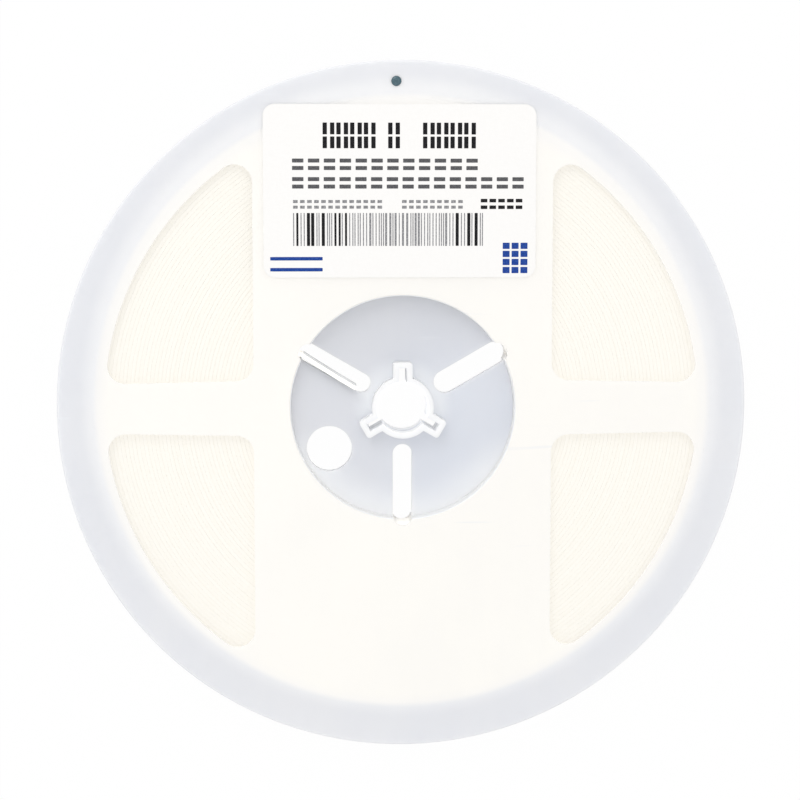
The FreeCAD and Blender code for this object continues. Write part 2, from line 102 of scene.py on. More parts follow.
def polar(radius: float, angle: float, height: float = 0.0) -> Vector:
    """Place a point by its distance from the axis, its angle from +X and its height."""
    return Vector((radius * math.cos(angle), radius * math.sin(angle), height))


def deselect_all() -> None:
    """Leave nothing selected, so that an operator acts on one piece alone."""
    bpy.ops.object.select_all(action="DESELECT")


def pick(*pieces: bpy.types.Object) -> None:
    """Select these pieces alone and make the first one active.

    Args:
        pieces: The pieces, the active one first.
    """
    deselect_all()
    for piece in pieces:
        piece.select_set(True)
    bpy.context.view_layer.objects.active = pieces[0]


def name_piece(name: str) -> bpy.types.Object:
    """Name the object that an operator has just added.

    Args:
        name: Name for the object and its mesh.

    Returns:
        The active object.
    """
    piece = bpy.context.active_object
    piece.name = name
    piece.data.name = name
    return piece


def settle(piece: bpy.types.Object) -> None:
    """Write a piece's place, turn and scale into its mesh."""
    pick(piece)
    bpy.ops.object.transform_apply(location=True, rotation=True, scale=True)


@contextmanager
def edit(piece: bpy.types.Object) -> Iterator[None]:
    """Open a piece in edit mode with all of it selected, and close it again.

    Args:
        piece: The mesh to edit.

    Yields:
        Nothing.
    """
    pick(piece)
    bpy.ops.object.mode_set(mode="EDIT")
    bpy.ops.mesh.select_mode(type="VERT")
    bpy.ops.mesh.select_all(action="SELECT")
    yield
    bpy.ops.object.mode_set(mode="OBJECT")


def close_up(piece: bpy.types.Object) -> None:
    """Merge a mesh's doubles, fill its open ends and turn its faces outwards.

    Args:
        piece: The mesh to close.
    """
    with edit(piece):
        bpy.ops.mesh.remove_doubles(threshold=MERGE_REACH)
        bpy.ops.mesh.fill_holes(sides=0)
        bpy.ops.mesh.select_all(action="SELECT")
        bpy.ops.mesh.normals_make_consistent(inside=False)


def smooth(piece: bpy.types.Object, degrees: float) -> None:
    """Shade a piece smooth where its faces meet at less than an angle."""
    pick(piece)
    bpy.ops.object.shade_smooth_by_angle(angle=math.radians(degrees))


def merge_pieces(pieces: Sequence[bpy.types.Object], name: str) -> bpy.types.Object:
    """Join several meshes into one piece.

    Args:
        pieces: Meshes in place.
        name: Name of the joined piece.

    Returns:
        The joined piece.
    """
    pick(*pieces)
    if len(pieces) > 1:
        bpy.ops.object.join()
    return name_piece(name)


def cut_away(piece: bpy.types.Object, cutter: bpy.types.Object) -> None:
    """Cut one mesh out of another and remove the cutter.

    Args:
        piece: The mesh to cut.
        cutter: The closed mesh that is cut out of it.
    """
    pick(piece)
    cut = piece.modifiers.new("cut", "BOOLEAN")
    cut.operation = "DIFFERENCE"
    cut.solver = "EXACT"
    cut.object = cutter
    bpy.ops.object.modifier_apply(modifier=cut.name)
    bpy.data.objects.remove(cutter)


def add_profile(name: str, place: Vector, angle: float, thick: float, wide: float, bevel: float
                ) -> bpy.types.Object:
    """Stand the outline of a tape's section across its run, as a closed wire.

    Args:
        name: Name of the new mesh.
        place: Middle of the section.
        angle: Angle of the section's normal to the axis, in radians.
        thick: Size along that direction.
        wide: Size along Z.
        bevel: Bevel of the corners.

    Returns:
        The wire, ready to spin.
    """
    deselect_all()
    bpy.ops.mesh.primitive_plane_add(size=1.0, location=place, rotation=(math.pi / 2, 0.0, angle))
    piece = name_piece(name)
    piece.scale = (thick, wide, 1.0)
    settle(piece)
    with edit(piece):
        bpy.ops.mesh.bevel(offset=bevel, affect="VERTICES", segments=1)
        bpy.ops.mesh.delete(type="ONLY_FACE")
    return piece


@dataclass(frozen=True)
class Bend:
    """One stretch of a tape's run: an arc about an upright line, anticlockwise if positive."""

    centre: Vector
    angle: float
    steps: int
    rise: float = 0.0


def spin_along(piece: bpy.types.Object, bends: Sequence[Bend]) -> None:
    """Sweep a wire section through arcs, each from where the last one ended.

    The spin operator turns the other way from the bends' angles.

    Args:
        piece: A closed wire from add_profile, whose sweep stays open at both ends.
        bends: Arcs in order.
    """
    with edit(piece):
        for bend in bends:
            bpy.ops.mesh.spin(steps=bend.steps, angle=-bend.angle, center=bend.centre, axis=UP)
            if bend.rise:
                bpy.ops.transform.translate(value=UP * bend.rise)


# ---------------------------------------------------------------- shader nodes


class Graph:
    """A node tree with short calls to add and link nodes."""

    def __init__(self, tree: bpy.types.NodeTree) -> None:
        """Keep the tree to build in."""
        self.tree = tree

    def node(self, kind: str, **settings: object) -> bpy.types.Node:
        """Add a node.

        Args:
            kind: Type of the node.
            settings: Properties to set on it.

        Returns:
            The node.
        """
        made = self.tree.nodes.new(kind)
        for key, value in settings.items():
            setattr(made, key, value)
        return made

    def feed(self, socket: bpy.types.NodeSocket, source: object) -> None:
        """Link a socket to a node's output, or set its value.

        Args:
            socket: An input.
            source: A socket to link it to, or its plain value.
        """
        if isinstance(source, bpy.types.NodeSocket):
            self.tree.links.new(source, socket)
        else:
            socket.default_value = source

    def math(self, operation: str, first: object, second: object = 0.0, clamp: bool = False
             ) -> bpy.types.NodeSocket:
        """Add a maths node.

        Args:
            operation: Kind of sum.
            first: Its first value or socket.
            second: Its second value or socket.
            clamp: Whether the result stays within 0 and 1.

        Returns:
            The result.
        """
        made = self.node("ShaderNodeMath", operation=operation, use_clamp=clamp)
        self.feed(made.inputs[0], first)
        self.feed(made.inputs[1], second)
        return made.outputs[0]

    def remap(self, value: object, low: float, high: float, to_low: object = 0.0,
              to_high: object = 1.0) -> bpy.types.NodeSocket:
        """Stretch a range of values smoothly to another range.

        Args:
            value: Value or socket to stretch.
            low: Value that becomes to_low.
            high: Value that becomes to_high.
            to_low: First end of the new range.
            to_high: Second end of the new range.

        Returns:
            The stretched value, which stays within the new range.
        """
        made = self.node("ShaderNodeMapRange", interpolation_type="SMOOTHSTEP")
        for socket, source in zip(made.inputs, (value, low, high, to_low, to_high)):
            self.feed(socket, source)
        return made.outputs["Result"]

    def blend(self, share: object, first: object, second: object, kind: str = "MIX"
              ) -> bpy.types.NodeSocket:
        """Mix two colours by a share.

        Args:
            share: 0 for the first colour, 1 for the second.
            first: Colour or socket.
            second: Colour or socket.
            kind: How the second colour is laid over the first.

        Returns:
            The mix.
        """
        made = self.node("ShaderNodeMix", data_type="RGBA", blend_type=kind)
        self.feed(made.inputs["Factor"], share)
        self.feed(made.inputs[FIRST_COLOUR], first)
        self.feed(made.inputs[SECOND_COLOUR], second)
        return made.outputs[MIXED_COLOUR]

    def noise(self, vector: object, scale: object, detail: float = 3.0, roughness: float = 0.5,
              kind: str = "3D") -> bpy.types.NodeSocket:
        """Add a noise texture.

        Args:
            vector: Coordinates, or one number for a noise of one dimension.
            scale: Fineness of the noise.
            detail: How many finer layers lie on it.
            roughness: Weight of the finer layers.
            kind: Its dimensions.

        Returns:
            The noise, about 0.5 on average.
        """
        made = self.node("ShaderNodeTexNoise", noise_dimensions=kind)
        self.feed(made.inputs["W" if kind == "1D" else "Vector"], vector)
        self.feed(made.inputs["Scale"], scale)
        made.inputs["Detail"].default_value = detail
        made.inputs["Roughness"].default_value = roughness
        return made.outputs[0]

    def stretch(self, vector: object, scale: Sequence[float], turn: float) -> bpy.types.NodeSocket:
        """Scale coordinates and turn them about Z.

        Args:
            vector: The coordinates.
            scale: Scale along each axis.
            turn: Turn in radians.

        Returns:
            The new coordinates.
        """
        made = self.node("ShaderNodeMapping")
        self.feed(made.inputs["Vector"], vector)
        made.inputs["Scale"].default_value = scale
        made.inputs["Rotation"].default_value = (0.0, 0.0, turn)
        return made.outputs["Vector"]

    def reach(self, place: bpy.types.NodeSocket, rise: float = 0.0) -> bpy.types.NodeSocket:
        """Measure a place's distance from the reel's axis, or from a line a little above it.

        Args:
            place: The coordinates.
            rise: How far the line lies above the axis, along +Y.

        Returns:
            The distance.
        """
        flat = self.node("ShaderNodeVectorMath", operation="MULTIPLY_ADD")
        self.feed(flat.inputs[0], place)
        flat.inputs[1].default_value = (1.0, 1.0, 0.0)
        flat.inputs[2].default_value = (0.0, -rise, 0.0)
        length = self.node("ShaderNodeVectorMath", operation="LENGTH")
        self.feed(length.inputs[0], flat.outputs[0])
        return length.outputs["Value"]

    def place(self) -> bpy.types.NodeSocket:
        """Return the piece's own coordinates."""
        return self.node("ShaderNodeTexCoord").outputs["Object"]

    def parts(self, place: bpy.types.NodeSocket) -> bpy.types.NodeOutputs:
        """Take coordinates apart into X, Y and Z.

        Args:
            place: The coordinates.

        Returns:
            Outputs named X, Y and Z.
        """
        made = self.node("ShaderNodeSeparateXYZ")
        self.feed(made.inputs[0], place)
        return made.outputs

    def bump(self, height: bpy.types.NodeSocket, strength: float, depth: float
             ) -> bpy.types.NodeSocket:
        """Turn a height into relief.

        Args:
            height: The height, from 0 to 1.
            strength: Strength of the relief.
            depth: Depth of the relief.

        Returns:
            The normal.
        """
        made = self.node("ShaderNodeBump")
        made.inputs["Strength"].default_value = strength
        made.inputs["Distance"].default_value = depth
        self.feed(made.inputs["Height"], height)
        return made.outputs[0]

    def seen(self) -> bpy.types.NodeSocket:
        """Tell where the backdrop is looked at, rather than giving light.

        Returns:
            1 for rays from the camera, from gloss and through glass, and 0 for light.
        """
        path = self.node("ShaderNodeLightPath")
        looked = self.math("ADD", path.outputs["Is Camera Ray"], path.outputs["Is Glossy Ray"])
        return self.math("ADD", looked, path.outputs["Is Transmission Ray"], clamp=True)


def new_group(name: str, inputs: Sequence[tuple[str, str, float]],
              outputs: Sequence[tuple[str, str]]) -> tuple[Graph, bpy.types.Node, bpy.types.Node]:
    """Start a shader node group with named sockets.

    Args:
        name: Name of the group.
        inputs: Name, socket type and first value of each input.
        outputs: Name and socket type of each output.

    Returns:
        The group's graph, its input node and its output node.
    """
    tree = bpy.data.node_groups.new(name, "ShaderNodeTree")
    for label, kind, value in inputs:
        socket = tree.interface.new_socket(name=label, in_out="INPUT", socket_type=kind)
        if kind == FLOAT:
            socket.default_value = value
    for label, kind in outputs:
        tree.interface.new_socket(name=label, in_out="OUTPUT", socket_type=kind)
    graph = Graph(tree)
    return graph, graph.node("NodeGroupInput"), graph.node("NodeGroupOutput")


@dataclass(frozen=True)
class Clouding:
    """Soft clouding with streaks, as in moulded milky plastic or film."""

    broad: Pair = (2.0, 0.45)
    streak: Pair = (3.0, 0.55)
    drawn: tuple[float, float, float] = (1.0, 0.25, 1.0)
    turn: float = 0.7
    fineness: float = 4.0
    span: Pair = (0.3, 0.7)

    def build(self) -> bpy.types.NodeTree:
        """Build the group.

        Returns:
            A group that gives a mask from 0 to 1 about the middle.
        """
        graph, given, made = new_group(
            "clouding", (("Place", VECTOR, 0.0), ("Scale", FLOAT, 40.0), ("Streak", FLOAT, 0.3)),
            (("Cloud", FLOAT),))
        broad = graph.noise(given.outputs["Place"], given.outputs["Scale"], *self.broad)
        drawn = graph.stretch(given.outputs["Place"], self.drawn, self.turn)
        fine_scale = graph.math("MULTIPLY", given.outputs["Scale"], self.fineness)
        centred = graph.math("SUBTRACT", graph.noise(drawn, fine_scale, *self.streak), 0.5)
        part = graph.math("MULTIPLY", centred, given.outputs["Streak"])
        cloud = graph.math("ADD", broad, part)
        graph.feed(made.inputs["Cloud"], graph.remap(cloud, *self.span))
        return graph.tree


@dataclass(frozen=True)
class Scuffs:
    """Fine rubbed marks and scratches from handling."""

    turns: Pair = (0.5, -0.9)
    drawn: tuple[float, float, float] = (0.06, 1.0, 0.3)
    line: Pair = (2.0, 0.5)
    line_span: Pair = (0.68, 0.74)
    patch: Pair = (28.0, 2.0)
    patch_span: Pair = (0.5, 0.66)

    def build(self) -> bpy.types.NodeTree:
        """Build the group.

        Returns:
            A group that gives a mask of 1 on the marks.
        """
        graph, given, made = new_group(
            "scuffs", (("Place", VECTOR, 0.0), ("Scale", FLOAT, 220.0), ("Amount", FLOAT, 0.5)),
            (("Mark", FLOAT),))
        masks = []
        for turn in self.turns:
            drawn = graph.stretch(given.outputs["Place"], self.drawn, turn)
            lines = graph.noise(drawn, given.outputs["Scale"], *self.line)
            masks.append(graph.remap(lines, *self.line_span))
        patches = graph.remap(graph.noise(given.outputs["Place"], *self.patch), *self.patch_span)
        marks = graph.math("MULTIPLY", graph.math("MAXIMUM", *masks), patches)
        marks = graph.math("MULTIPLY", marks, given.outputs["Amount"], clamp=True)
        graph.feed(made.inputs["Mark"], marks)
        return graph.tree


@dataclass(frozen=True)
class Fibres:
    """The fibres and flecks of pressed paper."""

    lay: tuple[float, float, float] = (1.0, 0.35, 1.0)
    lay_turn: float = 0.4
    cross: tuple[float, float, float] = (0.35, 1.0, 1.0)
    cross_turn: float = -0.3
    fleck: Pair = (4.0, 0.6)
    span: Pair = (0.35, 0.65)

    def build(self) -> bpy.types.NodeTree:
        """Build the group.

        Returns:
            A group that gives a tone mask and a height.
        """
        graph, given, made = new_group(
            "fibres", (("Place", VECTOR, 0.0), ("Scale", FLOAT, 1500.0)),
            (("Tone", FLOAT), ("Height", FLOAT)))
        drawn = graph.stretch(given.outputs["Place"], self.lay, self.lay_turn)
        crossed = graph.stretch(given.outputs["Place"], self.cross, self.cross_turn)
        first = graph.noise(drawn, given.outputs["Scale"], *self.fleck)
        second = graph.noise(crossed, given.outputs["Scale"], *self.fleck)
        height = graph.math("MULTIPLY", graph.math("ADD", first, second), 0.5)
        graph.feed(made.inputs["Height"], height)
        graph.feed(made.inputs["Tone"], graph.remap(height, *self.span))
        return graph.tree


class Effect(Enum):
    """Node groups that the finishes share."""

    CLOUDING = Clouding()
    SCUFFS = Scuffs()
    FIBRES = Fibres()

    def use(self, graph: Graph, *values: object) -> bpy.types.NodeOutputs:
        """Put the effect into a material, and build its group if it is the first to use it.

        Args:
            graph: The material's graph.
            values: Values or sockets for the group's inputs, in their order.

        Returns:
            The group node's outputs.
        """
        tree = bpy.data.node_groups.get(self.name.lower()) or self.value.build()
        made = graph.node("ShaderNodeGroup", node_tree=tree)
        for socket, value in zip(made.inputs, values):
            graph.feed(socket, value)
        return made.outputs


def start_material(name: str) -> tuple[bpy.types.Material, Graph, bpy.types.Node]:
    """Start a material with one Principled shader.

    Args:
        name: Name of the material.

    Returns:
        The material, its graph and its shader node.
    """
    material = bpy.data.materials.new(name)
    material.use_nodes = True
    return material, Graph(material.node_tree), material.node_tree.nodes["Principled BSDF"]


def dress(piece: bpy.types.Object, material: bpy.types.Material) -> None:
    """Give a piece its material.

    Args:
        piece: The piece.
        material: Its only material.
    """
    piece.data.materials.clear()
    piece.data.materials.append(material)


# ---------------------------------------------------------------- finishes


@dataclass(frozen=True)
class MilkyPlastic:
    """Translucent satin polystyrene, with light and shade painted into its colour by zone.

    It is painted brightest over the wound tape, standing for the tape's light seen
    through it, with a painted glow just past the tape's edge that reaches further at
    the top. The open rim and the hollow hub are painted shade in a cool grey, and the
    recessed webs are painted greyest: darker at the top of the well, bluer to the
    right, lighter at its foot and round the collar. The bore's walls carry a painted glow.
    """

    name: str = "milky_polystyrene"
    # Painted light over the tape, standing for the tape's light through the flange, a little dimmer
    # towards the tape's edge.
    backed: Colour = tone(0.981, 0.968, 0.946)
    backed_edge: Colour = tone(0.962, 0.955, 0.944)
    # A painted glow just past the tape's edge, then painted shade at the open rim.
    brim_painted_glow: Colour = tone(0.925, 0.926, 0.932)
    rim: Colour = tone(0.887, 0.89, 0.902)
    # Painted shade on the recessed webs, darkest at the top of the well and bluer to the right;
    # painted light at the foot and round the collar.
    web_top_painted_shade: Colour = tone(0.842, 0.847, 0.864)
    web_left_painted_shade: Colour = tone(0.866, 0.871, 0.889)
    web_right_painted_shade: Colour = tone(0.862, 0.874, 0.902)
    web_foot_painted_light: Colour = tone(0.955, 0.961, 0.972)
    web_core_painted_light: Colour = tone(0.917, 0.925, 0.938)
    walls: Colour = tone(0.97, 0.98, 1.0)
    cloudy_tint: Colour = tone(0.975, 0.98, 0.988)
    cloud_depth: float = 0.5
    cloud: Pair = (26.0, 0.5)
    scuffed: Colour = tone(0.90, 0.91, 0.925)
    scuff: Pair = (420.0, 0.4)
    scuff_dulling: float = 0.22
    # Reaches and heights that shape the painted zones; the rises lift the painted glow's centre so
    # it reaches further at the top.
    hub_radius: float = 29.2 * MM
    sides: Pair = (-17.0 * MM, 17.0 * MM)
    foot_reach: Pair = (18.0 * MM, 32.0 * MM)
    foot_fall: Pair = (-4.0 * MM, -18.0 * MM)
    core_reach: Pair = (14.0 * MM, 8.2 * MM)
    core_rise: Pair = (-8.0 * MM, -1.0 * MM)
    # Where the painted glow on the bore's walls lies, and how much weaker it is at the bottom.
    bore_reach: float = 6.8 * MM
    bore_rise: Pair = (-7.0 * MM, 0.0)
    bore_share: Pair = (0.15, 1.0)
    painted_bore_glow: float = 0.25
    web_level: Pair = (4.4 * MM, 7.0 * MM)
    backed_full: float = 75.0 * MM
    roll_edge: float = 79.2 * MM
    roll_blur: float = 0.9 * MM
    roll_rise: float = 0.9 * MM
    rim_deep: float = 84.0 * MM
    rim_rise: float = 2.2 * MM
    backed_depth: float = 0.35
    roughness: Pair = (0.39, 0.47)
    grain: Pair = (900.0, 2.0)
    grain_relief: Pair = (0.08, 0.05 * MM)
    depth: float = 2.0 * MM
    shade: float = 0.4
    backed_shade: float = 0.22
    index: float = 1.57

    def zones(self, graph: Graph, place: bpy.types.NodeSocket) -> bpy.types.NodeSocket:
        """Paint light and shade into the halves' colour, by what lies behind each part of them.

        Args:
            graph: The material's graph.
            place: The piece's coordinates.

        Returns:
            The colour.
        """
        split = graph.parts(place)
        reach = graph.reach(place)
        # Painted glow past the tape's edge fading into the rim's painted shade, centred a little
        # above the axis so it reaches further at the top.
        deep = graph.remap(graph.reach(place, self.rim_rise), self.roll_edge, self.rim_deep)
        bare = graph.remap(graph.reach(place, self.roll_rise), self.roll_edge - self.roll_blur,
                           self.roll_edge + self.roll_blur)
        # Over the tape, painted light from the tape behind, dimmer towards its edge.
        edge = graph.remap(reach, self.backed_full, self.roll_edge)
        flange = graph.blend(bare, graph.blend(edge, self.backed, self.backed_edge),
                             graph.blend(deep, self.brim_painted_glow, self.rim))
        above = graph.math("GREATER_THAN", split["Z"], self.web_level[0])
        below = graph.math("LESS_THAN", split["Z"], self.web_level[1])
        level = graph.math("MULTIPLY", above, below)
        # Painted shade on the web: darker towards the top of the well, bluer to the right.
        upper = graph.remap(split["Y"], 0.0, self.hub_radius)
        # Painted light towards the foot of the well.
        lower = graph.math("MULTIPLY", graph.remap(reach, *self.foot_reach),
                           graph.remap(split["Y"], *self.foot_fall))
        side = graph.remap(split["X"], *self.sides)
        web = graph.blend(upper, graph.blend(side, self.web_left_painted_shade, self.web_right_painted_shade), self.web_top_painted_shade)
        web = graph.blend(lower, web, self.web_foot_painted_light)
        # Painted light round the collar, except below it.
        core = graph.math("MULTIPLY", graph.remap(reach, *self.core_reach),
                          graph.remap(split["Y"], *self.core_rise))
        web = graph.blend(core, web, self.web_core_painted_light)
        hub = graph.blend(level, self.walls, web)
        return graph.blend(graph.math("LESS_THAN", reach, self.hub_radius), flange, hub)

    def build(self) -> bpy.types.Material:
        """Build the finish.

        Returns:
            The material.
        """
        material, graph, shader = start_material(self.name)
        place = graph.place()
        cloud = Effect.CLOUDING.use(graph, place, *self.cloud)["Cloud"]
        marks = Effect.SCUFFS.use(graph, place, *self.scuff)["Mark"]
        clouded = graph.blend(graph.math("MULTIPLY", cloud, self.cloud_depth),
                              self.zones(graph, place), self.cloudy_tint, "MULTIPLY")
        graph.feed(shader.inputs["Base Color"], graph.blend(marks, clouded, self.scuffed))
        cloudy = graph.remap(cloud, 0.0, 1.0, *self.roughness)
        worn = graph.math("MULTIPLY", marks, self.scuff_dulling)
        graph.feed(shader.inputs["Roughness"], graph.math("ADD", cloudy, worn))
        normal = graph.bump(graph.noise(place, *self.grain), *self.grain_relief)
        graph.feed(shader.inputs["Normal"], normal)
        reach = graph.reach(place)
        self.let_light_through(graph, shader, reach)
        # Painted light: an emission makes the bore's walls glow, more towards the top.
        bore = graph.math("LESS_THAN", reach, self.bore_reach)
        upper = graph.remap(graph.parts(place)["Y"], *self.bore_rise, *self.bore_share)
        painted_bore_light = graph.blend(graph.math("MULTIPLY", bore, upper), BLACK, self.walls)
        graph.feed(shader.inputs["Emission Color"], painted_bore_light)
        shader.inputs["Emission Strength"].default_value = self.painted_bore_glow
        shader.inputs["IOR"].default_value = self.index
        return material

    def let_light_through(self, graph: Graph, shader: bpy.types.Node, reach: bpy.types.NodeSocket
                          ) -> None:
        """Scatter light in the plastic, and let it cast a thinner shadow where it lies hollow.

        Args:
            graph: The material's graph.
            shader: Its shader.
            reach: Distance from the reel's axis.
        """
        hollow = graph.math("ADD", graph.math("GREATER_THAN", reach, self.roll_edge),
                            graph.math("LESS_THAN", reach, self.hub_radius))
        graph.feed(shader.inputs["Subsurface Weight"],
                   graph.remap(hollow, 0.0, 1.0, self.backed_depth, 1.0))
        shader.inputs["Subsurface Scale"].default_value = self.depth
        shader.inputs["Subsurface Radius"].default_value = (1.0, 1.0, 1.0)
        seen = graph.node("ShaderNodeLightPath").outputs["Is Camera Ray"]
        shade = graph.remap(hollow, 0.0, 1.0, self.backed_shade, self.shade)
        graph.feed(shader.inputs["Alpha"], graph.remap(seen, 0.0, 1.0, shade, 1.0))


@dataclass(frozen=True)
class PressedPaper:
    """Matt paper with fibres, and faint rings of tone round the axis if it is wound.

    Close to the axis it can carry painted light, an emission that lightens the shaded inner turn by
    the drum.
    """

    name: str
    light: Colour
    dark: Colour
    grain: float = 1400.0
    fibre_share: float = 0.5
    relief: float = 0.25
    relief_depth: float = 0.03 * MM
    roughness: float = 0.85
    gloss: float = 0.2
    ring_scale: float = 0.0
    ring_noise: Pair = (2.0, 0.7)
    ring_span: Pair = (0.35, 0.7)
    ring_share: Pair = (0.0, 0.6)
    glow: float = 0.0
    glow_reach: float = 0.0

    def build(self) -> bpy.types.Material:
        """Build the finish.

        Returns:
            The material.
        """
        material, graph, shader = start_material(self.name)
        place = graph.place()
        fibres = Effect.FIBRES.use(graph, place, self.grain)
        share = graph.math("MULTIPLY", fibres["Tone"], self.fibre_share)
        if self.ring_scale:
            rings = graph.noise(graph.reach(place), self.ring_scale, *self.ring_noise, kind="1D")
            rings = graph.remap(rings, *self.ring_span, *self.ring_share)
            share = graph.math("ADD", share, rings, clamp=True)
        graph.feed(shader.inputs["Base Color"], graph.blend(share, self.light, self.dark))
        shader.inputs["Roughness"].default_value = self.roughness
        shader.inputs["Specular IOR Level"].default_value = self.gloss
        normal = graph.bump(fibres["Height"], self.relief, self.relief_depth)
        graph.feed(shader.inputs["Normal"], normal)
        # Painted light: an emission that lightens the shaded inner turn close to the axis.
        if self.glow:
            near = graph.math("LESS_THAN", graph.reach(place), self.glow_reach)
            graph.feed(shader.inputs["Emission Color"], graph.blend(near, BLACK, WHITE))
            shader.inputs["Emission Strength"].default_value = self.glow
        return material


@dataclass(frozen=True)
class ClearFilm:
    """Thin glossy film that shows what it lies on."""

    name: str
    colour: Colour
    cover: float
    cover_play: float = 0.05
    cloud: Pair = (150.0, 0.8)
    roughness: Pair = (0.12, 0.3)

    def build(self) -> bpy.types.Material:
        """Build the finish.

        Returns:
            The material.
        """
        material, graph, shader = start_material(self.name)
        cloud = Effect.CLOUDING.use(graph, graph.place(), *self.cloud)["Cloud"]
        shader.inputs["Base Color"].default_value = self.colour
        graph.feed(shader.inputs["Roughness"], graph.remap(cloud, 0.0, 1.0, *self.roughness))
        cover = (self.cover - self.cover_play, self.cover + self.cover_play)
        graph.feed(shader.inputs["Alpha"], graph.remap(cloud, 0.0, 1.0, *cover))
        return material


@dataclass(frozen=True)
class PrintInk:
    """Printed or stamped ink, a little uneven."""

    name: str
    full: Colour
    thin: Colour
    roughness: float = 0.7
    gloss: float = 0.15
    patch: tuple[float, float, float] = (2600.0, 3.0, 0.6)
    patch_span: Pair = (0.42, 0.72)

    def build(self) -> bpy.types.Material:
        """Build the finish.

        Returns:
            The material.
        """
        material, graph, shader = start_material(self.name)
        patches = graph.remap(graph.noise(graph.place(), *self.patch), *self.patch_span)
        graph.feed(shader.inputs["Base Color"], graph.blend(patches, self.full, self.thin))
        shader.inputs["Roughness"].default_value = self.roughness
        shader.inputs["Specular IOR Level"].default_value = self.gloss
        return material


@dataclass(frozen=True)
class StudioFloor:
    """White floor that shows plain white to the camera and keeps a soft shadow."""

    name: str = "studio_floor"
    colour: Colour = (0.93, 0.93, 0.93, 1.0)
    roughness: float = 0.9
    plain_share: float = 0.98

    def build(self) -> bpy.types.Material:
        """Build the finish.

        Returns:
            The material.
        """
        material, graph, shader = start_material(self.name)
        shader.inputs["Base Color"].default_value = self.colour
        shader.inputs["Roughness"].default_value = self.roughness
        share = graph.math("MULTIPLY", graph.seen(), self.plain_share)
        white = graph.node("ShaderNodeEmission")
        mixed = graph.node("ShaderNodeMixShader")
        graph.feed(mixed.inputs[0], share)
        graph.feed(mixed.inputs[1], shader.outputs[0])
        graph.feed(mixed.inputs[2], white.outputs[0])
        output = graph.tree.nodes["Material Output"]
        graph.feed(output.inputs["Surface"], mixed.outputs[0])
        return material


# ---------------------------------------------------------------- reel


@dataclass
class Mouldings:
    """The two milky halves of the reel, one moulding turned over."""

    nodes: tuple[str, ...] = ("front_half", "rear_half")
    finish: MilkyPlastic = MilkyPlastic()

    def build(self) -> list[bpy.types.Object]:
        """Dress both halves in the same finish.

        Returns:
            Both halves.
        """
        material = self.finish.build()
        halves = [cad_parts[name] for name in self.nodes]
        for half in halves:
            dress(half, material)
        return halves


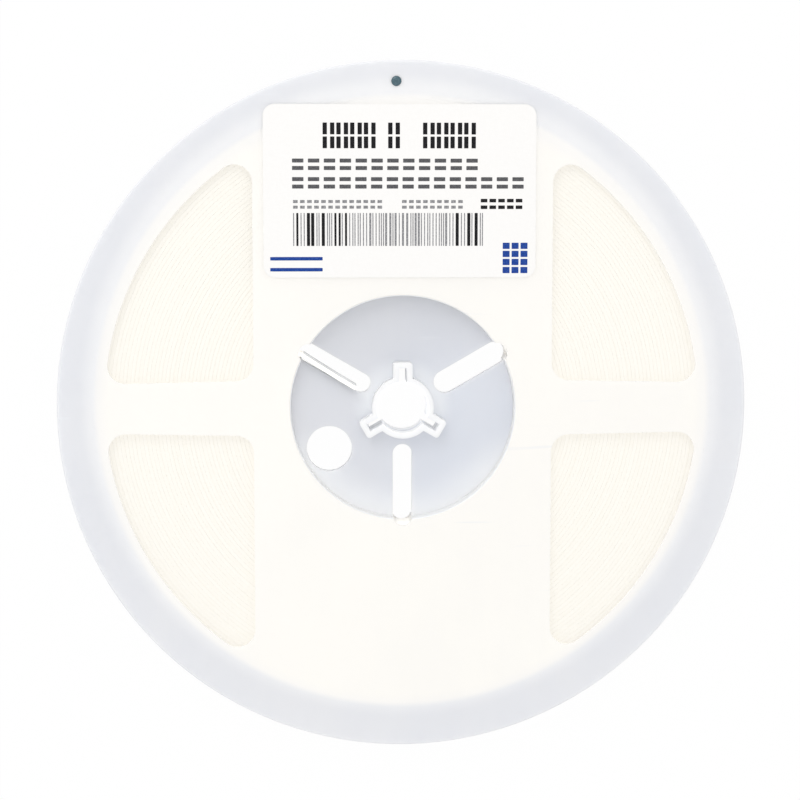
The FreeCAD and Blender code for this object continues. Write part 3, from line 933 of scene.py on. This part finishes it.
@dataclass
class WoundTape:
    """Paper carrier tape wound from a slot in the drum, with its cover film."""

    outer_radius: float = 79.4 * MM
    inner_radius: float = 30.05 * MM
    end_angle: float = math.radians(120.0)
    slot_angle: float = math.radians(150.0)
    whole_turns: int = 48
    thickness: float = 0.978 * MM
    bevel: float = 0.035 * MM
    seating: float = 0.03 * MM
    unevenness: float = 0.05 * MM
    steps: int = 36
    outer_steps: int = 60
    fold_steps: int = 10
    tail_steps: int = 12
    bends_a_length: int = 8
    unevenness_seed: int = 8
    hole_pitch: float = 4.0 * MM
    hole_radius: float = 0.75 * MM
    hole_edge: float = 1.75 * MM
    hole_sides: int = 14
    punch_share: float = 3.0
    pocket_drop: float = 3.5 * MM
    pocket_long: float = 1.1 * MM
    pocket_wide: float = 1.9 * MM
    film_wide: float = 5.4 * MM
    film_thick: float = 0.05 * MM
    tail_film: float = 0.12 * MM
    fold_radius: float = 1.1 * MM
    tail_entry: float = 1.2 * MM
    tail_end: float = 1.8 * MM
    tail_reach: float = 13.1 * MM
    tail_bow: float = math.radians(1.2)
    tail_holes: int = 4
    tail_first_hole: float = 0.6
    paper_crease: float = 35.0
    film_crease: float = 40.0
    # The paper's emission near the drum is painted light on the shaded inner turn.
    paper: PressedPaper = PressedPaper(
        "carrier_paper", tone(0.99, 0.978, 0.95), tone(0.982, 0.968, 0.934), ring_scale=900.0,
        glow=0.3, glow_reach=31.1 * MM)
    film: ClearFilm = ClearFilm("cover_film", tone(0.95, 0.96, 0.97), 0.3)
    # Grey film on the inner end's faces: partly backing film, partly painted shade.
    backing_and_shade: ClearFilm = ClearFilm("backing_film_and_shade", tone(0.88, 0.89, 0.895), 0.9)

    def __post_init__(self) -> None:
        """Read the tape's height from the frame and work out the spiral's pitch."""
        low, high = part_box("carrier_tape")
        self.floor = low.z + self.seating
        self.top = high.z - self.seating
        self.middle = (self.floor + self.top) / 2
        self.slot_side = self.slot_angle + math.pi / 2
        self.fold_reach = self.inner_radius + self.thickness / 2 - self.fold_radius
        self.fold_angle = self.slot_angle + math.asin(
            (self.tail_entry + self.fold_radius) / self.fold_reach)
        self.punch_depth = self.thickness * self.punch_share
        turns = self.whole_turns + 1 - (self.fold_angle - self.end_angle) / math.tau
        self.pitch = (self.outer_radius - self.inner_radius - self.thickness) / turns
        self.hole_height = self.top - self.hole_edge
        self.pocket_height = self.hole_height - self.pocket_drop

    def centre(self, index: int) -> Vector:
        """Give the centre of a half turn, counted inwards from the outer end."""
        side = 1 if index % 2 == 0 else -1
        return polar(self.pitch / 4 * side, self.end_angle)

    def half_turns(self, first: int, count: int, steps: int, uneven: random.Random | None
                   ) -> list[Bend]:
        """List half turns of the spiral, going inwards.

        Args:
            first: Index of the first half turn.
            count: How many there are.
            steps: Straight steps in each.
            uneven: Source of each one's rise, or None to keep them level.

        Returns:
            The bends.
        """
        bends = []
        height = 0.0
        for index in range(first, first + count):
            wanted = uneven.uniform(-self.unevenness, 0.0) if uneven else 0.0
            bends.append(Bend(self.centre(index), -math.pi, steps, wanted - height))
            height = wanted
        return bends

    def section(self, name: str, reach: float, angle: float, thick: float, wide: float,
                height: float) -> bpy.types.Object:
        """Stand a section across the spiral at a reach and an angle."""
        bevel = min(self.bevel, thick / 4)
        return add_profile(name, polar(reach, angle, height), angle, thick, wide, bevel)

    def last_turn(self) -> bpy.types.Object:
        """Wind the outermost turn and punch its holes and pockets.

        Returns:
            The turn.
        """
        reach = self.outer_radius - self.thickness / 2
        turn = self.section("last_turn", reach, self.end_angle, self.thickness,
                            self.top - self.floor, self.middle)
        spin_along(turn, self.half_turns(0, 2, self.outer_steps, None))
        close_up(turn)
        cut_away(turn, self.punches_round(reach))
        return turn

    def punches_round(self, reach: float) -> bpy.types.Object:
        """Set a peg for each round hole and a block for each pocket about the axis.

        Args:
            reach: Distance of their middle from the axis.

        Returns:
            All of them as one mesh.
        """
        count = int(math.tau * reach / self.hole_pitch)
        step = math.tau / count
        start = self.end_angle + step / 2
        punch = self.punch_pair(polar(reach, start), start)
        with edit(punch):
            bpy.ops.mesh.spin(steps=count - 1, dupli=True, angle=step * (count - 1),
                              center=AXIS_FOOT, axis=UP, use_auto_merge=False)
        return punch

    def punch_pair(self, place: Vector, angle: float) -> bpy.types.Object:
        """Make one round peg and one pocket block at a place on the tape.

        Args:
            place: Place on the tape's run, at zero height.
            angle: Direction through the tape.

        Returns:
            Both as one mesh.
        """
        turn = (0.0, math.pi / 2, angle)
        deselect_all()
        bpy.ops.mesh.primitive_cylinder_add(
            vertices=self.hole_sides, radius=self.hole_radius, depth=self.punch_depth,
            location=place + UP * self.hole_height, rotation=turn)
        peg = name_piece("peg")
        settle(peg)
        deselect_all()
        bpy.ops.mesh.primitive_cube_add(
            size=1.0, location=place + UP * self.pocket_height, rotation=turn)
        block = name_piece("block")
        block.scale = (self.pocket_wide, self.pocket_long, self.punch_depth)
        settle(block)
        return merge_pieces((peg, block), "punch")

    def inner_turns(self) -> bpy.types.Object:
        """Wind the other turns down to the drum, and fold the inner end into its slot.

        The run is wound a few turns at a time, and the lengths are then merged.

        Returns:
            The turns.
        """
        count = 2 * self.whole_turns - 2
        bends = self.half_turns(2, count, self.steps, random.Random(self.unevenness_seed))
        last = self.end_angle - math.pi - (self.fold_angle - math.tau)
        bends.append(Bend(self.centre(count), -math.pi, self.steps))
        bends.append(Bend(self.centre(count + 1), -last, self.steps))
        runs = [bends[start:start + self.bends_a_length]
                for start in range(0, len(bends), self.bends_a_length)]
        fold = polar(self.fold_reach, self.fold_angle)
        runs[-1].append(Bend(fold, -(self.fold_angle - self.slot_side + math.pi), self.fold_steps))
        wide = self.top - self.floor - self.unevenness
        height = self.floor + self.unevenness + wide / 2
        lengths = []
        for index, run in enumerate(runs):
            turns_in = 1 + index * self.bends_a_length / 2
            reach = self.outer_radius - self.thickness / 2 - self.pitch * turns_in
            length = self.section("length", reach, self.end_angle, self.thickness, wide, height)
            spin_along(length, run)
            height += sum(bend.rise for bend in run)
            lengths.append(length)
        turns = merge_pieces(lengths, "inner_turns")
        close_up(turns)
        return turns

    def tail_run(self) -> tuple[Vector, Vector]:
        """Work out where the tape's inner end lies in the slot.

        Returns:
            Its first and last place, at zero height.
        """
        out = polar(1.0, self.slot_angle)
        side = polar(1.0, self.slot_side)
        reach = self.fold_reach * math.cos(self.fold_angle - self.slot_angle)
        start = out * reach + side * self.tail_entry
        return start, out * self.tail_reach + side * self.tail_end

    def strip(self, name: str, shift: float, thick: float, bevel: float) -> bpy.types.Object:
        """Lay a slightly bowed strip along the slot, full height.

        Args:
            name: Name of the strip.
            shift: Distance of its middle from the tape's middle, across the tape.
            thick: Thickness of the strip.
            bevel: Bevel of its corners.

        Returns:
            The strip.
        """
        start, finish = self.tail_run()
        run = finish - start
        heading = math.atan2(run.y, run.x)
        radius = run.length / 2 / math.sin(self.tail_bow)
        across = Vector((-run.y, run.x, 0.0)).normalized()
        centre = (start + finish) / 2 + across * (radius * math.cos(self.tail_bow))
        turned = heading - self.tail_bow + math.pi / 2
        place = start + polar(shift, turned) + UP * self.middle
        strip = add_profile(name, place, turned, thick, self.top - self.floor, bevel)
        spin_along(strip, [Bend(centre, 2 * self.tail_bow, self.tail_steps)])
        close_up(strip)
        return strip

    def tail(self) -> bpy.types.Object:
        """Lay the tape's inner end along one side of the slot, with its holes.

        Returns:
            The tail.
        """
        tail = self.strip("tail", 0.0, self.thickness, self.bevel)
        start, finish = self.tail_run()
        run = finish - start
        heading = math.atan2(run.y, run.x)
        for index in range(self.tail_holes):
            share = (index + self.tail_first_hole) * self.hole_pitch / run.length
            cut_away(tail, self.punch_pair(start + run * share, heading + math.pi / 2))
        return tail

    def tail_films(self) -> bpy.types.Object:
        """Line both faces of the tape's inner end with grey films, partly its backing film and
        partly painted shade of the faces in the slot.

        Returns:
            Both films.
        """
        shift = (self.thickness + self.tail_film) / 2
        bevel = self.tail_film / 4
        films = merge_pieces([self.strip("tail_film", shift * side, self.tail_film, bevel)
                              for side in (-1, 1)], "tail_films")
        smooth(films, self.film_crease)
        # The grey films stand partly for the backing film and partly for painted shade on the faces
        # in the slot.
        dress(films, self.backing_and_shade.build())
        return films

    def cover(self) -> bpy.types.Object:
        """Stick the cover film over the pockets of the outermost turn.

        Returns:
            The film.
        """
        reach = self.outer_radius + self.film_thick / 2
        film = self.section("cover_film", reach, self.end_angle, self.film_thick, self.film_wide,
                            self.pocket_height)
        spin_along(film, self.half_turns(0, 2, self.outer_steps, None))
        close_up(film)
        smooth(film, self.film_crease)
        dress(film, self.film.build())
        return film

    def build(self) -> list[bpy.types.Object]:
        """Wind the tape and dress it.

        Returns:
            The tape, its cover film and the films of its inner end.
        """
        tape = merge_pieces((self.inner_turns(), self.last_turn(), self.tail()), "wound_tape")
        smooth(tape, self.paper_crease)
        dress(tape, self.paper.build())
        pieces = [tape, self.cover(), self.tail_films()]
        for piece in pieces:
            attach(piece, BODY)
        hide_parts("carrier_tape")
        return pieces


@dataclass
class EndTab:
    """The strip of adhesive film that holds the tape's outer end down."""

    node: str = "end_tab"
    finish: ClearFilm = ClearFilm("tab_film", tone(0.97, 0.965, 0.93), 0.72)

    def build(self) -> list[bpy.types.Object]:
        """Dress the tab.

        Returns:
            The tab alone.
        """
        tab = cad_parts[self.node]
        dress(tab, self.finish.build())
        return [tab]


@dataclass(frozen=True)
class Mark:
    """Plain blocks that stand for one printed character, in even columns and two rows."""

    columns: int
    stroke_wide: float
    stroke_tall: float


DASHES = Mark(1, 1.0, 0.35)
BLOCKS = Mark(2, 0.37, 0.46)


@dataclass(frozen=True)
class PrintRow:
    """One row of print: words of plain marks, from the label's top left corner."""

    left: float
    top: float
    right: float
    height: float
    words: tuple[int, ...]
    mark: Mark
    fill: float = 0.74
    word_space: float = 0.9


@dataclass
class PrintedLabel:
    """The paper label with plain marks in place of its print."""

    node: str = "label"
    ink_thick: float = 0.012 * MM
    corner: float = 0.06
    heading: PrintRow = PrintRow(15.2 * MM, 4.7 * MM, 54.3 * MM, 6.5 * MM, (4, 1, 0, 4), BLOCKS,
                                 0.86, 0.77)
    lines: tuple[PrintRow, ...] = (
        PrintRow(7.4 * MM, 13.8 * MM, 54.8 * MM, 2.9 * MM, (12,), DASHES, 0.72),
        PrintRow(7.4 * MM, 18.5 * MM, 66.6 * MM, 2.9 * MM, (15,), DASHES, 0.72),
    )
    count: PrintRow = PrintRow(55.6 * MM, 24.0 * MM, 66.3 * MM, 2.6 * MM, (5,), DASHES, 0.76)
    faint: PrintRow = PrintRow(7.6 * MM, 24.3 * MM, 51.0 * MM, 2.2 * MM, (13, 9), DASHES, 0.66, 2.5)
    bars_left: float = 7.6 * MM
    bars_right: float = 56.8 * MM
    bars_top: float = 27.6 * MM
    bars_tall: float = 8.4 * MM
    pale_middle: float = 0.58
    pale_reach: float = 0.24
    bar_unit: float = 0.27 * MM
    bar_seed: int = 21
    bold_widths: tuple[int, ...] = (1, 1, 1, 2, 3)
    pale_widths: tuple[int, ...] = (1, 1, 1, 2)
    bar_gaps: tuple[int, ...] = (1, 2, 2)
    line_left: float = 1.7 * MM
    line_tops: Pair = (38.8 * MM, 41.6 * MM)
    line_size: Pair = (13.4 * MM, 0.9 * MM)
    field_corner: Pair = (61.3 * MM, 35.2 * MM)
    field_step: Pair = (2.3 * MM, 2.07 * MM)
    field_block: Pair = (1.8 * MM, 1.6 * MM)
    field_columns: int = 3
    field_rows: int = 4
    paper: PressedPaper = PressedPaper(
        "label_paper", tone(0.972, 0.967, 0.96), tone(0.96, 0.954, 0.945), grain=2200.0, relief=0.1)
    black: PrintInk = PrintInk("black_print", tone(0.07, 0.07, 0.08), tone(0.18, 0.18, 0.19))
    dark_grey: PrintInk = PrintInk("grey_print", tone(0.32, 0.32, 0.33), tone(0.44, 0.44, 0.45))
    pale_grey: PrintInk = PrintInk("faint_print", tone(0.5, 0.5, 0.51), tone(0.7, 0.7, 0.71))
    blue: PrintInk = PrintInk("blue_print", tone(0.10, 0.24, 0.56), tone(0.22, 0.36, 0.66))

    def __post_init__(self) -> None:
        """Read the label's outline from the frame."""
        self.low, self.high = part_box(self.node)

    def block(self, left: float, top: float, wide: float, tall: float) -> bpy.types.Object:
        """Print one rounded block, placed from the label's top left corner.

        Args:
            left: Distance of its left side from the label's left edge.
            top: Distance of its top side from the label's top edge.
            wide: Width of the block.
            tall: Height of the block.

        Returns:
            The block, as a copy of the first one at its own size.
        """
        piece = self.pattern.copy()
        piece.data = self.pattern.data.copy()
        bpy.context.collection.objects.link(piece)
        piece.location = (self.low.x + left + wide / 2, self.high.y - top - tall / 2, self.high.z)
        piece.scale = (wide, tall, 1.0)
        return piece

    def make_pattern(self) -> None:
        """Model the block that all marks are copied from."""
        deselect_all()
        bpy.ops.mesh.primitive_plane_add(size=1.0, location=(0.0, 0.0, 0.0))
        self.pattern = name_piece("print_block")
        with edit(self.pattern):
            bpy.ops.mesh.bevel(offset=self.corner, affect="VERTICES", segments=2)
            bpy.ops.mesh.select_all(action="SELECT")
            bpy.ops.mesh.extrude_region_move(
                TRANSFORM_OT_translate={"value": UP * self.ink_thick})
        close_up(self.pattern)

    def row(self, row: PrintRow) -> list[bpy.types.Object]:
        """Print a row of words, each made of plain marks.

        Args:
            row: Place and make-up of the row.

        Returns:
            The blocks of the row.
        """
        cells = sum(row.words) + row.word_space * (len(row.words) - 1)
        step = (row.right - row.left) / (cells - 1 + row.fill)
        blocks = []
        left = row.left
        for count in row.words:
            for _ in range(count):
                blocks += self.mark(left, row, step * row.fill)
                left += step
            left += step * row.word_space
        return blocks

    def mark(self, left: float, row: PrintRow, wide: float) -> list[bpy.types.Object]:
        """Print the blocks that stand for one character.

        Args:
            left: Distance of its left side from the label's left edge.
            row: The row that it stands in.
            wide: Its width.

        Returns:
            The blocks.
        """
        block_wide = wide * row.mark.stroke_wide
        block_tall = row.height * row.mark.stroke_tall
        places = [left + (wide - block_wide) * column for column in range(row.mark.columns)]
        return [self.block(place, row.top + drop, block_wide, block_tall)
                for place in places for drop in (0.0, row.height - block_tall)]

    def bars(self) -> tuple[list[bpy.types.Object], list[bpy.types.Object]]:
        """Print a field of upright bars of made-up widths, paler in its middle.

        Returns:
            The bars in full ink, and those in thin ink.
        """
        source = random.Random(self.bar_seed)
        full, thin = [], []
        left = self.bars_left
        while left < self.bars_right - max(self.bold_widths) * self.bar_unit:
            share = (left - self.bars_left) / (self.bars_right - self.bars_left)
            bold = abs(share - self.pale_middle) > self.pale_reach
            units = source.choice(self.bold_widths if bold else self.pale_widths)
            bar = self.block(left, self.bars_top, self.bar_unit * units, self.bars_tall)
            (full if bold and units > 1 else thin).append(bar)
            left += self.bar_unit * (units + source.choice(self.bar_gaps))
        return full, thin

    def blue_marks(self) -> list[bpy.types.Object]:
        """Print two blue lines at the left and a small field of blue blocks at the right.

        Returns:
            The lines and the blocks.
        """
        lines = [self.block(self.line_left, top, *self.line_size) for top in self.line_tops]
        left, top = self.field_corner
        across, down = self.field_step
        return lines + [self.block(left + across * column, top + down * row, *self.field_block)
                        for column in range(self.field_columns) for row in range(self.field_rows)]

    def finish_print(self, blocks: Sequence[bpy.types.Object], name: str, ink: PrintInk
                     ) -> bpy.types.Object:
        """Join blocks into one printed piece and dress it.

        Args:
            blocks: Blocks in place.
            name: Name of the piece.
            ink: Its finish.

        Returns:
            The piece.
        """
        pick(*blocks)
        bpy.ops.object.transform_apply(location=True, rotation=True, scale=True)
        piece = merge_pieces(blocks, name)
        dress(piece, ink.build())
        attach(piece, BODY)
        return piece

    def build(self) -> list[bpy.types.Object]:
        """Dress the label and print it.

        Returns:
            The label and its four printed pieces.
        """
        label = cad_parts[self.node]
        dress(label, self.paper.build())
        self.make_pattern()
        full_bars, thin_bars = self.bars()
        dark = self.row(self.heading) + self.row(self.count) + full_bars
        lines = [block for row in self.lines for block in self.row(row)]
        pieces = [
            label,
            self.finish_print(dark, "black_print", self.black),
            self.finish_print(lines, "grey_print", self.dark_grey),
            self.finish_print(self.row(self.faint) + thin_bars, "faint_print", self.pale_grey),
            self.finish_print(self.blue_marks(), "blue_print", self.blue),
        ]
        bpy.data.objects.remove(self.pattern)
        return pieces


@dataclass
class InkDot:
    """The raised drop of dark ink near the rim."""

    node: str = "ink_dot"
    segments: int = 40
    rings: int = 24
    crease: float = 50.0
    finish: PrintInk = PrintInk(
        "dot_ink", tone(0.25, 0.36, 0.40), tone(0.36, 0.46, 0.50), roughness=0.18, gloss=0.5)

    def build(self) -> list[bpy.types.Object]:
        """Dome the drop from a ball.

        Returns:
            The drop alone.
        """
        low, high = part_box(self.node)
        radius = (high.x - low.x) / 2
        middle = (low + high) / 2
        deselect_all()
        foot = (middle.x, middle.y, low.z)
        bpy.ops.mesh.primitive_uv_sphere_add(segments=self.segments, ring_count=self.rings,
                                             radius=radius, location=foot)
        drop = name_piece("domed_dot")
        drop.scale = (1.0, 1.0, (high.z - low.z) / radius)
        settle(drop)
        with edit(drop):
            bpy.ops.mesh.bisect(plane_co=foot, plane_no=UP, use_fill=True, clear_inner=True)
        close_up(drop)
        smooth(drop, self.crease)
        dress(drop, self.finish.build())
        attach(drop, BODY)
        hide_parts(self.node)
        return [drop]


# ---------------------------------------------------------------- studio


@dataclass
class Studio:
    """White floor, even light with a soft key from the label's top left, and the camera."""

    floor_size: float = 6.0
    floor_drop: float = 0.2 * MM
    world_level: float = 0.92
    key_place: Vector = Vector((-0.35, 0.85, 0.85))
    key_size: float = 0.7
    key_power: float = 3.4
    camera_reach: float = 0.5
    camera_lean: float = math.radians(5.8)
    camera_side: float = math.radians(-2.3)
    camera_lens: float = 87.1
    film_width: float = 36.0
    nearest: float = 0.01
    aim: Vector = Vector((-0.00078, 0.00211, 0.0114))

    def floor(self) -> None:
        """Lay the floor just below the reel."""
        deselect_all()
        bpy.ops.mesh.primitive_plane_add(size=self.floor_size, location=-UP * self.floor_drop)
        floor = name_piece("studio_floor")
        dress(floor, StudioFloor().build())

    def light(self) -> None:
        """Light the reel evenly from all round, with a soft key."""
        world = bpy.data.worlds.new("studio")
        world.use_nodes = True
        graph = Graph(world.node_tree)
        sky = world.node_tree.nodes["Background"]
        sky.inputs["Color"].default_value = WHITE
        level = graph.remap(graph.seen(), 0.0, 1.0, self.world_level, 1.0)
        graph.feed(sky.inputs["Strength"], level)
        bpy.context.scene.world = world
        lamp = bpy.data.lights.new("key", "AREA")
        lamp.size = self.key_size
        lamp.energy = self.key_power
        key = bpy.data.objects.new("key", lamp)
        key.location = self.key_place
        key.rotation_euler = (-self.key_place).to_track_quat("-Z", "Y").to_euler()
        bpy.context.collection.objects.link(key)

    def camera(self) -> None:
        """Stand the camera over the reel, with the label's top upwards."""
        lens = bpy.data.cameras.new("camera")
        lens.lens = self.camera_lens
        lens.sensor_width = self.film_width
        lens.clip_start = self.nearest
        camera = bpy.data.objects.new("camera", lens)
        away = Vector((math.sin(self.camera_side), math.sin(self.camera_lean),
                       math.cos(self.camera_lean))).normalized()
        right = Vector((0.0, 1.0, 0.0)).cross(away).normalized()
        turned = Matrix((right, away.cross(right), away)).transposed()
        camera.location = self.aim + away * self.camera_reach
        camera.rotation_euler = turned.to_euler()
        bpy.context.collection.objects.link(camera)
        bpy.context.scene.camera = camera

    def build(self) -> None:
        """Set up the floor, the light and the camera."""
        self.floor()
        self.light()
        self.camera()
        bpy.context.scene.view_settings.view_transform = "Standard"


def main() -> None:
    """Build and report every piece, then the studio."""
    logging.basicConfig(level=logging.INFO, format="%(name)s: %(message)s")
    assemblies = (Mouldings(), WoundTape(), EndTab(), PrintedLabel(), InkDot())
    for assembly in assemblies:
        for piece in assembly.build():
            LOG.info("%s: %s, %d faces", type(assembly).__name__, piece.name,
                     len(piece.data.polygons))
    Studio().build()


if __name__ == "__main__":
    main()
